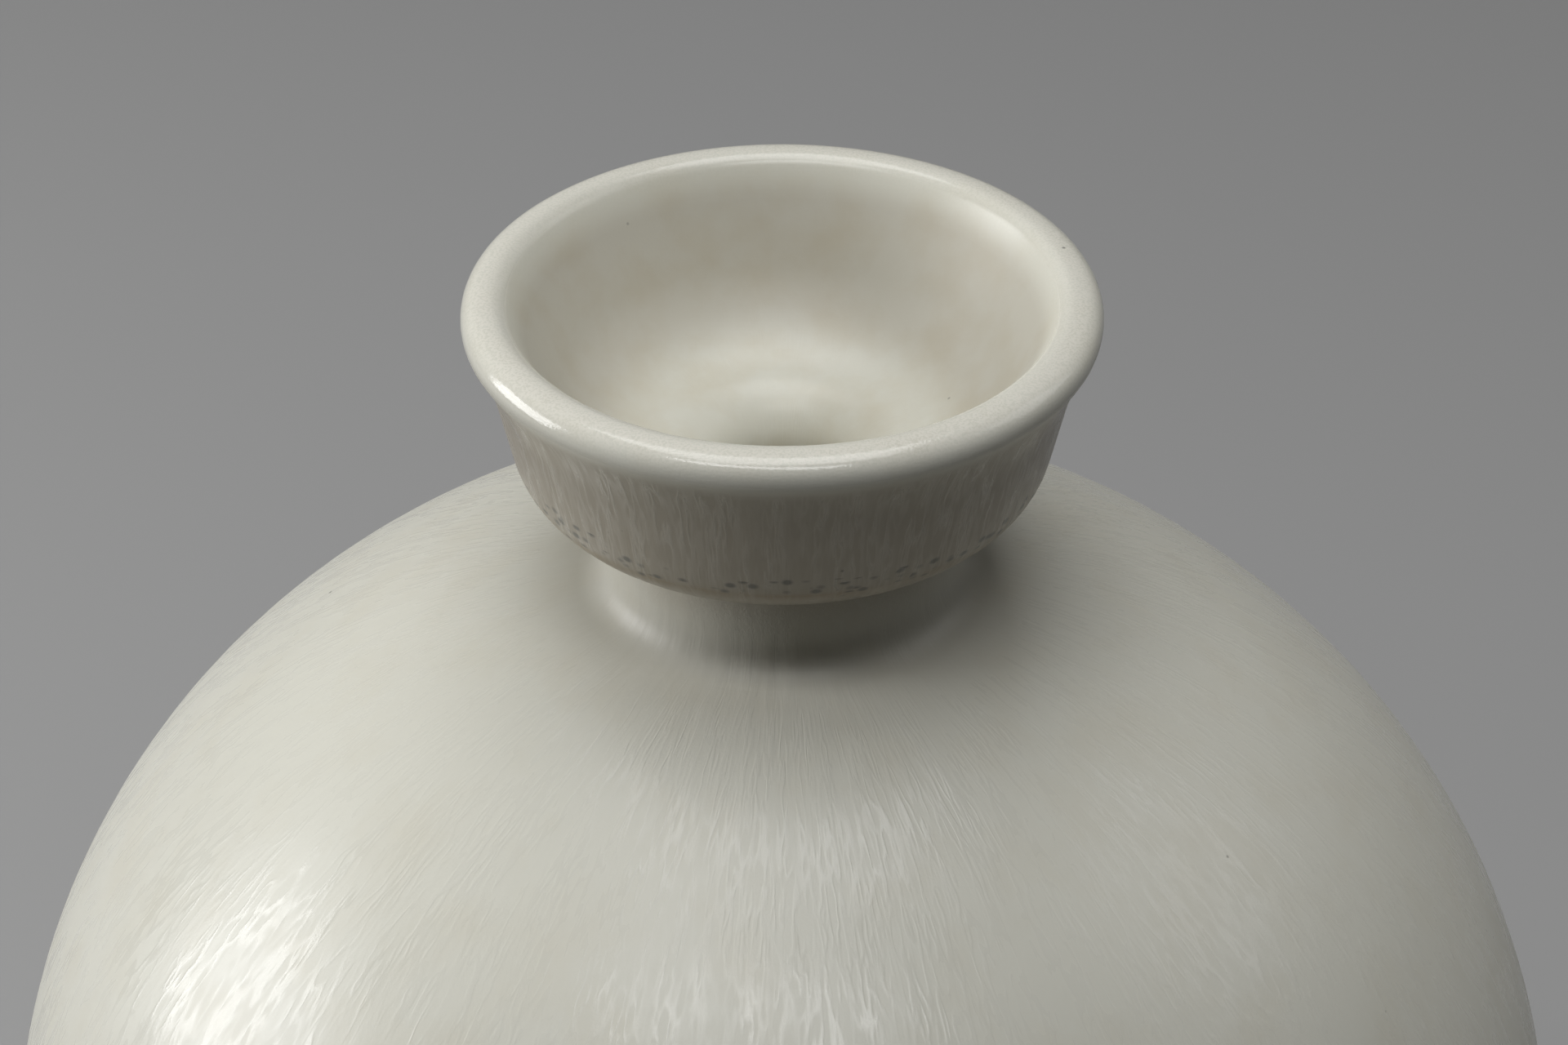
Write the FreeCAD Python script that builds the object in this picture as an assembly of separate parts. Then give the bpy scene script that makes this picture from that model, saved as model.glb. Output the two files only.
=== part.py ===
"""Globular stoneware bottle vase with a short neck and a cup-shaped mouth, in millimetres.

It is thrown in four sections, a lower bowl with a turned foot, an upper bowl, a neck
collar and a cup, which are luted together with slip. A poured liner glaze and a dipped
outer glaze cover them. Every piece is round, so each is one outline in the plane of the
axis, turned through a full circle. The origin is the centre of the foot's resting face,
with +Z up.
"""
import FreeCAD
import Part
import math
import os

# Body, measured over the outer glaze
belly_radius = 93.65
belly_drop = 88.2  # from the widest line down to where the lower bowl's curve would close
shoulder_rise = 88.2  # from the widest line up to where the shoulder's curve would close
shoulder_fillet = 4.5  # hollow between the shoulder and the neck

# Foot ring, turned from the lower bowl and left bare
foot_radius = 33.0
foot_height = 5.1  # resting face up to the lower bowl's curve, at the foot's outer wall
foot_width = 6.0
foot_bevel = 1.0
foot_fillet = 2.0
recess_depth = 3.5
recess_round = 2.0

# Clay walls
wall_thickness = 5.0
floor_thickness = 6.0
floor_curve_radius = 15.0  # inside, where the wall turns into the flat floor
neck_wall = 11.95  # thick, because the throat is narrow where the cup is luted on
throat_corner_round = 4.0  # where the bore opens into the jar

# Neck and throat
throat_radius = 7.0
throat_edge_round = 7.0
neck_length = 11.7  # shoulder up to the underside of the cup

# Cup
bowl_depth = 18.5  # crest of the lip down to the throat's edge
cup_floor = 6.0  # throat's edge down to the underside
cup_overhang = 15.05  # how far the lip stands out past the neck
underside_step = 1.75  # level part of the underside, next to the neck
underside_fillet_share = 0.8  # of the step
cavetto_radius = 21.0  # hollow of the outer wall, under the lip
cup_wall_lean_deg = 12.65
lip_undercut_deg = 33.4
bowl_wall_lean_deg = 30.0
bowl_floor_slope_deg = 10.0
bowl_floor_run = 0.5  # straight part of the floor, between the bowl's curve and the throat's edge

# Lip, rolled over and sponged
lip_width = 5.4
lip_inner_round_share = 0.39  # of the lip's width
lip_outer_round_share = 0.417  # of the lip's width
lip_crown_fall_deg = 12.3  # slope of the crown where it meets the outer round

# Luted seams: a tongue on the upper piece, a groove in the lower one, and slip between
slip_thickness = 0.6
tongue_depth = 1.6
tongue_half_width_share = 0.25  # of the wall
neck_bevel_foot_share = 0.3  # of the bore's rise from the jar to the top of the shoulder

# Glaze
glaze_thickness = 0.5
liner_thickness = 0.5
glaze_roll_radius = 0.9  # thick rolled edge where the outer glaze ends above the foot
bare_band = 4.5  # bare clay between the foot and the rolled edge
glaze_reach = 6.0  # how far the outer glaze runs down the throat to meet the liner

same_point = 1e-6
quarter_turn_deg = 90
half_turn_deg = 180

bore_radius = throat_radius + glaze_thickness
neck_clay_radius = bore_radius + neck_wall
neck_radius = neck_clay_radius + glaze_thickness
mouth_radius = neck_radius + cup_overhang


def drop_share(radius):
    """Height of an ellipse at a radius, as a share of its height on the axis."""
    return math.sqrt(1 - (radius / belly_radius) ** 2)


belly_height = foot_height + belly_drop * drop_share(foot_radius)
underside_height = belly_height + shoulder_rise * drop_share(neck_radius) + neck_length
floor_edge_height = underside_height + cup_floor
lip_height = floor_edge_height + bowl_depth


class Run:
    """A stretch of an outline, with the points where it starts and ends."""

    def __init__(self, edges, start, end):
        self.edges = edges
        self.start = start
        self.end = end

    def back(self):
        """The same stretch, followed the other way."""
        return Run(self.edges, self.end, self.start)


def point(radius, height):
    """A point of an outline, by its distance from the axis and its height."""
    return FreeCAD.Vector(radius, 0, height)


def away(start, distance, angle_deg):
    """The point at a distance from another, in the direction of an angle from level."""
    angle = math.radians(angle_deg)
    return start + point(distance * math.cos(angle), distance * math.sin(angle))


def angle_to(start, end):
    """The direction from one point to another, in degrees from level."""
    return math.degrees(math.atan2(end.z - start.z, end.x - start.x))


def corner(radius, height):
    """A run of one point, so that straight lines meet there."""
    return Run([], point(radius, height), point(radius, height))


def arc(centre, radius, start_deg, end_deg):
    """A run along a circle."""
    start = away(centre, radius, start_deg)
    middle = away(centre, radius, (start_deg + end_deg) / 2)
    end = away(centre, radius, end_deg)
    return Run([Part.Arc(start, middle, end).toShape()], start, end)


def dome_point(across, rise, turn_deg):
    """A point of the body's ellipse: 0 degrees is its widest line and 90 the axis.

    A negative rise gives the lower bowl.
    """
    turn = math.radians(turn_deg)
    return point(across * math.cos(turn), belly_height + rise * math.sin(turn))


def dome(across, rise, start_deg, end_deg):
    """A run along the body's ellipse."""
    centre = point(0, belly_height)
    side = point(across, belly_height)
    top = point(0, belly_height + rise)
    low, high = sorted((math.radians(start_deg), math.radians(end_deg)))
    if across >= abs(rise):
        edge = Part.Ellipse(side, top, centre).toShape(low, high)
    else:
        right_angle = math.radians(quarter_turn_deg)
        edge = Part.Ellipse(top, side, centre).toShape(right_angle - high, right_angle - low)
    return Run([edge], dome_point(across, rise, start_deg), dome_point(across, rise, end_deg))


def dome_normal_deg(across, rise, turn_deg):
    """The direction that the body's ellipse faces at a point."""
    turn = math.radians(turn_deg)
    return math.degrees(math.atan2(math.sin(turn) / rise, math.cos(turn) / across))


def halve(low, high, is_low):
    """The value between two others where a test stops being true."""
    for _ in range(60):
        middle = (low + high) / 2
        if is_low(middle):
            low = middle
        else:
            high = middle
    return (low + high) / 2


def dome_to_wall(across, rise, wall_radius, round_radius, start_deg=0):
    """A run from near the dome's widest line, over it and round into an upright wall."""

    def centre_from(turn_deg):
        touch = dome_point(across, rise, turn_deg)
        return away(touch, round_radius, dome_normal_deg(across, rise, turn_deg))

    centre_across = wall_radius + round_radius
    turn_deg = halve(0, quarter_turn_deg, lambda t: centre_from(t).x > centre_across)
    touch_deg = dome_normal_deg(across, rise, turn_deg) + half_turn_deg
    return join(
        dome(across, rise, start_deg, turn_deg),
        arc(centre_from(turn_deg), round_radius, touch_deg, half_turn_deg),
    )


def join(*runs):
    """One run through all of these, with straight lines where one ends apart from the next."""
    edges = list(runs[0].edges)
    for before, after in zip(runs, runs[1:]):
        if before.end.distanceToPoint(after.start) > same_point:
            edges.append(Part.LineSegment(before.end, after.start).toShape())
        edges += after.edges
    return Run(edges, runs[0].start, runs[-1].end)


def turned(name, *runs):
    """Closes an outline, turns it about the axis and writes the piece."""
    outline = join(*runs, Run([], runs[0].start, runs[0].start))
    face = Part.Face(Part.Wire(Part.__sortEdges__(outline.edges)))
    solid = face.revolve(point(0, 0), FreeCAD.Vector(0, 0, 1), 2 * half_turn_deg)
    solid.exportStep(f"parts/{name}.step")


# Clay and glaze of the body share these sizes
clay_across = belly_radius - glaze_thickness
clay_drop = belly_drop - glaze_thickness
inner_across = clay_across - wall_thickness
inner_rise = shoulder_rise - glaze_thickness - wall_thickness
inner_drop = clay_drop - wall_thickness
floor_height = recess_depth + floor_thickness
slip_floor_height = belly_height - slip_thickness
outer_slip_deg = math.degrees(math.asin(slip_thickness / clay_drop))
inner_slip_deg = math.degrees(math.asin(slip_thickness / inner_drop))

# Cup sizes that follow from the others
underside_fillet = underside_step * underside_fillet_share
cup_seam_height = underside_height - underside_fillet
lip_inner_round = lip_width * lip_inner_round_share
lip_outer_round = lip_width * lip_outer_round_share
crest_radius = mouth_radius - lip_width + lip_inner_round
crown_rest = lip_width - lip_inner_round - lip_outer_round
crown_radius = lip_outer_round + crown_rest / math.sin(math.radians(lip_crown_fall_deg))
throat_edge_radius = throat_radius + throat_edge_round
bore_top_height = floor_edge_height - throat_edge_round


def outside_to_neck(inset):
    """Outer surface from the widest line to the foot of the neck, set in from the glaze."""
    return dome_to_wall(
        belly_radius - inset,
        shoulder_rise - inset,
        neck_radius - inset,
        shoulder_fillet + inset,
    )


def inside_to_bore(coat):
    """Inner surface from the widest line up to the bore, under a coat of liner."""
    return dome_to_wall(
        inner_across - coat,
        inner_rise - coat,
        bore_radius - coat,
        throat_corner_round + coat,
    )


def inside_to_floor(coat, start_deg=0):
    """Inner surface from near the widest line to the middle of the floor, under a coat."""
    across = inner_across - coat
    drop = inner_drop - coat
    curve_radius = floor_curve_radius - coat

    def centre_from(turn_deg):
        touch = dome_point(across, -drop, turn_deg)
        return away(touch, -curve_radius, dome_normal_deg(across, -drop, turn_deg))

    centre_height = floor_height + floor_curve_radius
    turn_deg = halve(0, quarter_turn_deg, lambda t: centre_from(t).z > centre_height)
    touch_deg = dome_normal_deg(across, -drop, turn_deg)
    return join(
        dome(across, -drop, start_deg, turn_deg),
        arc(centre_from(turn_deg), curve_radius, touch_deg, -quarter_turn_deg),
        corner(0, floor_height + coat),
    )


def cup_outside(inset):
    """Outer surface of the cup from the neck to the crest, set in from the glaze."""
    crown_start_deg = quarter_turn_deg - lip_crown_fall_deg
    crown_centre = point(crest_radius, lip_height - crown_radius)
    lip_centre = away(crown_centre, crown_radius - lip_outer_round, crown_start_deg)
    cavetto_centre = away(lip_centre, lip_outer_round + cavetto_radius, -lip_undercut_deg)
    cavetto_start_deg = half_turn_deg - cup_wall_lean_deg
    wall_top = away(cavetto_centre, cavetto_radius, cavetto_start_deg)
    lean = math.radians(cup_wall_lean_deg)
    base_radius = neck_radius + underside_step
    out_of_line = math.cos(lean) * (wall_top.x - base_radius)
    out_of_line -= math.sin(lean) * (wall_top.z - underside_height)
    base_round = out_of_line / (1 - math.sin(lean))
    fillet_centre = point(neck_radius + underside_fillet, cup_seam_height)
    base_centre = point(base_radius, underside_height + base_round)
    return join(
        arc(fillet_centre, underside_fillet + inset, half_turn_deg, quarter_turn_deg),
        arc(base_centre, base_round - inset, -quarter_turn_deg, -cup_wall_lean_deg),
        arc(
            cavetto_centre,
            cavetto_radius + inset,
            cavetto_start_deg,
            half_turn_deg - lip_undercut_deg,
        ),
        arc(lip_centre, lip_outer_round - inset, -lip_undercut_deg, crown_start_deg),
        arc(crown_centre, crown_radius - inset, crown_start_deg, quarter_turn_deg),
    )


def cup_inside(inset):
    """Inner surface of the cup from the crest to the top of the bore, set in from the glaze."""
    wall_facing_deg = half_turn_deg - bowl_wall_lean_deg
    floor_facing_deg = quarter_turn_deg + bowl_floor_slope_deg
    lip_centre = point(crest_radius, lip_height - lip_inner_round)
    edge_centre = point(throat_edge_radius, bore_top_height)
    wall_top = away(lip_centre, lip_inner_round, wall_facing_deg)
    floor_end = away(edge_centre, throat_edge_round, floor_facing_deg)
    wall_facing = away(point(0, 0), 1, wall_facing_deg)
    along_floor = away(point(0, 0), 1, bowl_floor_slope_deg)
    floor_length = wall_facing.dot(wall_top - floor_end) / wall_facing.dot(along_floor)
    half_bend_deg = (wall_facing_deg - floor_facing_deg) / 2
    half_bend = math.radians(half_bend_deg)
    curve_radius = (floor_length - bowl_floor_run) / math.tan(half_bend)
    curve_centre = away(
        away(floor_end, floor_length, bowl_floor_slope_deg),
        curve_radius / math.cos(half_bend),
        floor_facing_deg + half_bend_deg,
    )
    return join(
        arc(lip_centre, lip_inner_round - inset, quarter_turn_deg, wall_facing_deg),
        arc(
            curve_centre,
            curve_radius + inset,
            wall_facing_deg - half_turn_deg,
            floor_facing_deg - half_turn_deg,
        ),
        arc(edge_centre, throat_edge_round - inset, floor_facing_deg, half_turn_deg),
    )


def seam(outer, inner, height):
    """A luted edge in section, from the outer surface to the inner, with its tongue."""
    middle = (outer + inner) / 2
    half_width = (outer - inner) * tongue_half_width_share
    return join(
        corner(outer, height),
        corner(middle + half_width, height),
        corner(middle, height - tongue_depth),
        corner(middle - half_width, height),
        corner(inner, height),
    )


def belly_seam():
    """Edge of the upper bowl, on the widest line."""
    return seam(clay_across, inner_across, belly_height)


def belly_groove():
    """Edge of the lower bowl, under the slip."""
    outer = dome_point(clay_across, -clay_drop, outer_slip_deg).x
    inner = dome_point(inner_across, -inner_drop, inner_slip_deg).x
    return seam(outer, inner, slip_floor_height)


def neck_bevel(lift):
    """Bevelled edge from the neck's outer surface down to the bore, lifted by any slip."""
    neck_foot = outside_to_neck(glaze_thickness).end.z
    bore_foot = inside_to_bore(0).end.z
    bevel_foot = bore_foot + (neck_foot - bore_foot) * neck_bevel_foot_share
    return join(corner(neck_clay_radius, neck_foot + lift), corner(bore_radius, bevel_foot + lift))


def cup_seam(drop):
    """Tongued edge across the neck's wall under the cup, dropped by any slip."""
    return seam(neck_clay_radius, bore_radius, cup_seam_height - drop)


def foot_ring():
    """Recessed base and foot ring, from the axis to the foot's outer wall."""
    edge = foot_radius - foot_width
    round_centre = point(edge - recess_round, recess_depth - recess_round)
    return join(
        corner(0, recess_depth),
        arc(round_centre, recess_round, quarter_turn_deg, 0),
        corner(edge, foot_bevel),
        corner(edge + foot_bevel, 0),
        corner(foot_radius - foot_bevel, 0),
        corner(foot_radius, foot_bevel),
    )


def glaze_roll():
    """Rolled lower edge of the outer glaze, from the clay round to the glaze's own face."""

    def distance(across, drop, turn_deg):
        return dome_point(across, -drop, turn_deg).distanceToPoint(centre)

    middle_deg = math.degrees(math.acos((foot_radius + bare_band) / clay_across))
    centre = dome_point(clay_across, -clay_drop, middle_deg)
    clay_deg = halve(
        middle_deg,
        quarter_turn_deg,
        lambda t: distance(clay_across, clay_drop, t) < glaze_roll_radius,
    )
    face_deg = halve(
        0,
        middle_deg,
        lambda t: distance(belly_radius, belly_drop, t) > glaze_roll_radius,
    )
    clay_end = dome_point(clay_across, -clay_drop, clay_deg)
    face_end = dome_point(belly_radius, -belly_drop, face_deg)
    return join(
        dome(clay_across, -clay_drop, 0, clay_deg),
        arc(centre, glaze_roll_radius, angle_to(centre, clay_end), angle_to(centre, face_end)),
        dome(belly_radius, -belly_drop, face_deg, 0),
    )


os.makedirs("parts", exist_ok=True)

turned(
    "lower_bowl",
    foot_ring(),
    dome_to_wall(clay_across, -clay_drop, foot_radius, foot_fillet, outer_slip_deg).back(),
    belly_groove(),
    inside_to_floor(0, inner_slip_deg),
)
turned(
    "waist_slip_joint",
    belly_seam(),
    dome(inner_across, -inner_drop, 0, inner_slip_deg),
    belly_groove().back(),
    dome(clay_across, -clay_drop, outer_slip_deg, 0),
)
turned(
    "upper_bowl",
    outside_to_neck(glaze_thickness),
    neck_bevel(0),
    inside_to_bore(0).back(),
    belly_seam().back(),
)
turned("neck_slip_joint", neck_bevel(0), neck_bevel(slip_thickness).back())
turned("neck_collar", neck_bevel(slip_thickness), cup_seam(slip_thickness).back())
turned("cup_slip_joint", cup_seam(slip_thickness), cup_seam(0).back())
turned("cup_mouth", cup_outside(glaze_thickness), cup_inside(glaze_thickness), cup_seam(0).back())
turned(
    "outer_glaze",
    glaze_roll(),
    outside_to_neck(0),
    cup_outside(0),
    cup_inside(0),
    corner(throat_radius, bore_top_height - glaze_reach),
    corner(bore_radius, bore_top_height - glaze_reach),
    cup_inside(glaze_thickness).back(),
    cup_outside(glaze_thickness).back(),
    outside_to_neck(glaze_thickness).back(),
)
turned(
    "liner_glaze",
    corner(bore_radius - liner_thickness, bore_top_height - glaze_reach),
    inside_to_bore(liner_thickness).back(),
    inside_to_floor(liner_thickness),
    inside_to_floor(0).back(),
    inside_to_bore(0),
    corner(bore_radius, bore_top_height - glaze_reach),
)
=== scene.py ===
"""Studio scene of a globular stoneware bottle vase with a cup-shaped mouth.

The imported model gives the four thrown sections, the slip that lutes them and the liner
glaze. The outer glaze is what the eye sees, so it is modelled again here as one fine mesh
that carries the relief of the fired coat.

Lengths are in metres and angles in degrees. +Z is up, and the camera looks along +Y.
"""
import logging
import math
from collections.abc import Callable
from dataclasses import dataclass, field
from enum import Enum

import bpy
import numpy as np
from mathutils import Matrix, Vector, noise
from mathutils.kdtree import KDTree


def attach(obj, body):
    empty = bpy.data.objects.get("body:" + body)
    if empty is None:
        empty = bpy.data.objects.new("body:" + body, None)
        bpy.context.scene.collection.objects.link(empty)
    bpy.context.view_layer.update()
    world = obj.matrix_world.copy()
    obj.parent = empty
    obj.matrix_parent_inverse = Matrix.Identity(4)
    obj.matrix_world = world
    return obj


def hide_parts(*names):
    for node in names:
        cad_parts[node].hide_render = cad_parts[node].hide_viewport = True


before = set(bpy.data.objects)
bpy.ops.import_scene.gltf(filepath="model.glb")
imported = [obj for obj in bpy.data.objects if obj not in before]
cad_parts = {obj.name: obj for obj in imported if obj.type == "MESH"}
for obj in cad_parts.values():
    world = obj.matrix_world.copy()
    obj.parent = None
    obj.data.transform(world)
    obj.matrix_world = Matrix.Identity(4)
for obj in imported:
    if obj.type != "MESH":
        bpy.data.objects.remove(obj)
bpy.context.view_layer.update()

log = logging.getLogger("vase")

MM = 0.001
QUARTER = 90
HALF = 180
HALF_TURN = 0.5
SAME_SPOT = 0.001 * MM
WELD_GAP = 0.002 * MM
HALVINGS = 50
QUAD_CORNERS = 4
NOISE_MIDDLE = 0.5
BLACK = (0, 0, 0, 1)
BODY = "root"

Tree = bpy.types.NodeTree
Socket = bpy.types.NodeSocket
Colour = tuple[float, float, float, float]


class Look(Enum):
    """Values that the coat carries at each of its points, for the glaze to read.

    STREAKS is how strong the threads are, RING how many fit on a radian, and TINT how much paler
    they are. WARM, CROWN and THIN are how much shows of the clouds, the lip's cream and the drawn
    edge, and the lean value is how much the coat is darkened to a grey brown: partly the clay's tone
    through a lean coat, partly painted shade under the lip, under the cup and in the bowl. SPECKS is
    the share of cells with a long speck, GRAIN the strength of the fine relief, and DULL is added to
    the roughness.
    """

    STREAKS = "streaks"
    RING = "ring"
    WARM = "warm"
    LEAN_AND_SHADE = "lean"
    TINT = "tint"
    CROWN = "crown"
    THIN = "thin"
    SPECKS = "specks"
    GRAIN = "grain"
    DULL = "dull"


class Zone(Enum):
    """Zones of the coat that differ in their look."""

    WHOLE = "whole"
    STREAKED = "streaked"
    CUP = "cup"
    OUTSIDE = "outside"
    NECK = "neck"
    LIP = "lip"
    BOWL = "bowl"
    BOWL_WALL = "bowl_wall"
    BOWL_FLOOR = "bowl_floor"
    CROWN = "crown"
    DRAWN_EDGE = "drawn_edge"
    SPECK_ROW = "speck_row"


LOOKS = {
    Look.STREAKS: {Zone.STREAKED: 1.0, Zone.BOWL_FLOOR: 0.25},
    Look.WARM: {Zone.WHOLE: 0.12, Zone.BOWL: 0.2},
    # Lean value: grey-brown tone on the cup's outside, the neck and the bowl's wall, partly a lean
    # coat over the clay and partly painted shade under the lip, under the cup and in the bowl.
    Look.LEAN_AND_SHADE: {Zone.OUTSIDE: 0.75, Zone.NECK: 0.18, Zone.BOWL_WALL: 0.33},
    Look.TINT: {Zone.WHOLE: 0.12, Zone.OUTSIDE: 0.1},
    Look.CROWN: {Zone.CROWN: 0.8},
    Look.THIN: {Zone.DRAWN_EDGE: 0.5},
    Look.SPECKS: {Zone.SPECK_ROW: 1.1},
    Look.GRAIN: {Zone.WHOLE: 0.3, Zone.LIP: 0.7},
    Look.DULL: {Zone.BOWL_WALL: 0.12, Zone.NECK: 0.08, Zone.LIP: -0.24},
}


def colour(hex_text: str) -> Colour:
    """Turns an sRGB hex value to the linear colour that shaders take.

    Args:
        hex_text: Six hex digits.

    Returns:
        Red, green, blue and full alpha.
    """
    parts = [int(hex_text[i:i + 2], 16) / 255 for i in (0, 2, 4)]
    linear = [p / 12.92 if p <= 0.04045 else ((p + 0.055) / 1.055) ** 2.4 for p in parts]
    return (*linear, 1.0)


@dataclass(frozen=True)
class Ramp:
    """How a texture's value is turned to a strength, held at both ends.

    Attributes:
        low: The texture's value where the ramp starts.
        high: The texture's value where it ends.
        start: The strength at its start.
        end: The strength at its end.
        smooth: Whether it eases in and out.
    """

    low: float
    high: float
    start: float = 0.0
    end: float = 1.0
    smooth: bool = False


@dataclass(frozen=True)
class Mottle:
    """Settings of a soft noise.

    Attributes:
        scale: How many bumps it has to a unit of the place.
        detail: How many finer layers it has.
        roughness: How strong each finer layer is.
    """

    scale: float
    detail: float
    roughness: float = 0.5


def add_node(tree: Tree, kind: str, links: dict | None = None, **settings) -> bpy.types.Node:
    """Adds a node with its settings and links.

    Args:
        tree: Node tree that the node goes into.
        kind: Blender's name for the node's type, less its ShaderNode.
        links: Value or output socket for each input, by the input's name or number.
        settings: Values of the node's own properties.

    Returns:
        The new node.
    """
    node = tree.nodes.new(f"ShaderNode{kind}")
    for name, value in settings.items():
        setattr(node, name, value)
    for key, value in (links or {}).items():
        if isinstance(value, Socket):
            tree.links.new(value, node.inputs[key])
        else:
            node.inputs[key].default_value = value
    return node


def calculate(tree: Tree, operation: str, *values: Socket | float) -> Socket:
    """Adds one step of arithmetic."""
    return add_node(tree, "Math", dict(enumerate(values)), operation=operation).outputs[0]


def combine(tree: Tree, operation: str, *vectors: Socket | tuple) -> Socket:
    """Adds one step of vector arithmetic."""
    links = dict(enumerate(vectors))
    return add_node(tree, "VectorMath", links, operation=operation).outputs[0]


def attribute(tree: Tree, look: Look) -> Socket:
    """Reads one of the coat's own values at a point."""
    return add_node(tree, "Attribute", attribute_name=look.value).outputs["Fac"]


def object_place(tree: Tree) -> Socket:
    """Gives a point's place on the piece, in metres."""
    return add_node(tree, "TexCoord").outputs["Object"]


def mix(tree: Tree, share: Socket, below: Socket | Colour, above: Socket | Colour) -> Socket:
    """Lays one colour over another, by the share of the upper one that shows."""
    node = add_node(tree, "Mix", {0: share, 6: below, 7: above}, data_type="RGBA")
    return node.outputs[2]


def ramp(tree: Tree, value: Socket, over: Ramp) -> Socket:
    """Turns a texture's value to a strength."""
    links = {0: value, 1: over.low, 2: over.high, 3: over.start, 4: over.end}
    easing = "SMOOTHSTEP" if over.smooth else "LINEAR"
    return add_node(tree, "MapRange", links, interpolation_type=easing).outputs[0]


def mottle(tree: Tree, spot: Socket, settings: Mottle, output: str = "Fac") -> Socket:
    """Reads a soft noise at a place, as one value or as a colour."""
    links = {"Vector": spot, "Scale": settings.scale, "Detail": settings.detail}
    links["Roughness"] = settings.roughness
    return add_node(tree, "TexNoise", links).outputs[output]


def scatter(tree: Tree, spot: Socket, scale: float, shape: Ramp, share: Socket | float) -> Socket:
    """Scatters round specks, one at most in each cell.

    Args:
        tree: Node tree that the nodes go into.
        spot: The place that the pattern is read at.
        scale: How many cells it has to a unit of the place.
        shape: A speck's strength by the distance from its middle.
        share: The share of cells that have a speck.

    Returns:
        How strong a speck is at that place.
    """
    cells = add_node(tree, "TexVoronoi", {"Vector": spot, "Scale": scale})
    near = ramp(tree, cells.outputs["Distance"], shape)
    draw = add_node(tree, "SeparateColor", {0: cells.outputs["Color"]}).outputs[0]
    return calculate(tree, "MULTIPLY", near, calculate(tree, "LESS_THAN", draw, share))


def bump(tree: Tree, height: Socket, depth: float, **more: Socket) -> Socket:
    """Turns a height to a facing, on top of another relief if its Normal is given."""
    links = {"Height": height, "Distance": depth, **more}
    return add_node(tree, "Bump", links).outputs[0]


def add_surface(tree: Tree, inputs: dict) -> None:
    """Ends a material with its shader, which takes these inputs."""
    shader = add_node(tree, "BsdfPrincipled", inputs)
    add_node(tree, "OutputMaterial", {"Surface": shader.outputs[0]})


def new_material(name: str) -> tuple[bpy.types.Material, Tree]:
    """Makes an empty node material.

    Args:
        name: The finish's common name.

    Returns:
        The material and its node tree.
    """
    material = bpy.data.materials.new(name)
    material.use_nodes = True
    material.node_tree.nodes.clear()
    return material, material.node_tree


def deselect_all() -> None:
    """Leaves object mode with nothing selected, so that an operator acts on the new piece alone."""
    if bpy.context.object and bpy.context.object.mode != "OBJECT":
        bpy.ops.object.mode_set(mode="OBJECT")
    bpy.ops.object.select_all(action="DESELECT")


def triples(items: bpy.types.bpy_prop_collection, name: str) -> np.ndarray:
    """Reads a vector of each of a mesh's items, with one row for each."""
    values = np.empty(len(items) * 3)
    items.foreach_get(name, values)
    return values.reshape(-1, 3)


def reach(node: str) -> tuple[float, float, float]:
    """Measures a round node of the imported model.

    Args:
        node: The node's name.

    Returns:
        Its least and greatest distance from the axis, and its greatest height.
    """
    places = triples(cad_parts[node].data.vertices, "co")
    across = np.hypot(places[:, 0], places[:, 1])
    return across.min(), across.max(), places[:, 2].max()


def place(radius: float, height: float) -> Vector:
    """Gives a point of an outline, in the plane of the axis."""
    return Vector((radius, 0, height))


def away(start: Vector, distance: float, angle_deg: float) -> Vector:
    """Gives the point at a distance from another, in the direction of an angle from level."""
    angle = math.radians(angle_deg)
    return start + distance * place(math.cos(angle), math.sin(angle))


def halve(low: float, high: float, is_low: Callable[[float], bool]) -> float:
    """Finds the value between two others where a test stops being true.

    Args:
        low: A value that passes the test.
        high: A value that fails it.
        is_low: The test.

    Returns:
        The value where it changes.
    """
    for _ in range(HALVINGS):
        middle = (low + high) / 2
        low, high = (middle, high) if is_low(middle) else (low, middle)
    return (low + high) / 2


class Mark(Enum):
    """Named places along the glaze's outline, from the foot to the throat."""

    ROLL_END = "roll_end"
    SHOULDER = "shoulder"
    NECK_FOOT = "neck_foot"
    CUP_FOOT = "cup_foot"
    CUP_EDGE = "cup_edge"
    LIP_UNDER = "lip_under"
    CREST = "crest"
    BOWL_WALL = "bowl_wall"
    BOWL_FLOOR = "bowl_floor"


@dataclass(frozen=True)
class Fade:
    """A place along the outline where a look comes in, or where it is strongest.

    Attributes:
        mark: The named place that it is measured from.
        past: How far beyond that place it starts, or has its middle.
        width: How long it takes, or about half of how long it lasts.
    """

    mark: Mark
    past: float
    width: float


@dataclass
class Run:
    """Distances along an outline, for looks that come and go along it.

    Attributes:
        lengths: Each point's distance from the first point.
        at: The distance of each named place.
    """

    lengths: np.ndarray
    at: dict[Mark, float]

    def rise(self, fade: Fade) -> np.ndarray:
        """Goes smoothly from 0 to 1 over a fade's width."""
        share = np.clip((self.lengths - (self.at[fade.mark] + fade.past)) / fade.width, 0, 1)
        return share * share * (3 - 2 * share)

    def band(self, fade: Fade) -> np.ndarray:
        """Goes smoothly up to 1 at the fade's middle and down again."""
        middle = self.at[fade.mark] + fade.past
        return np.exp(-(((self.lengths - middle) / fade.width) ** 2))


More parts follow.
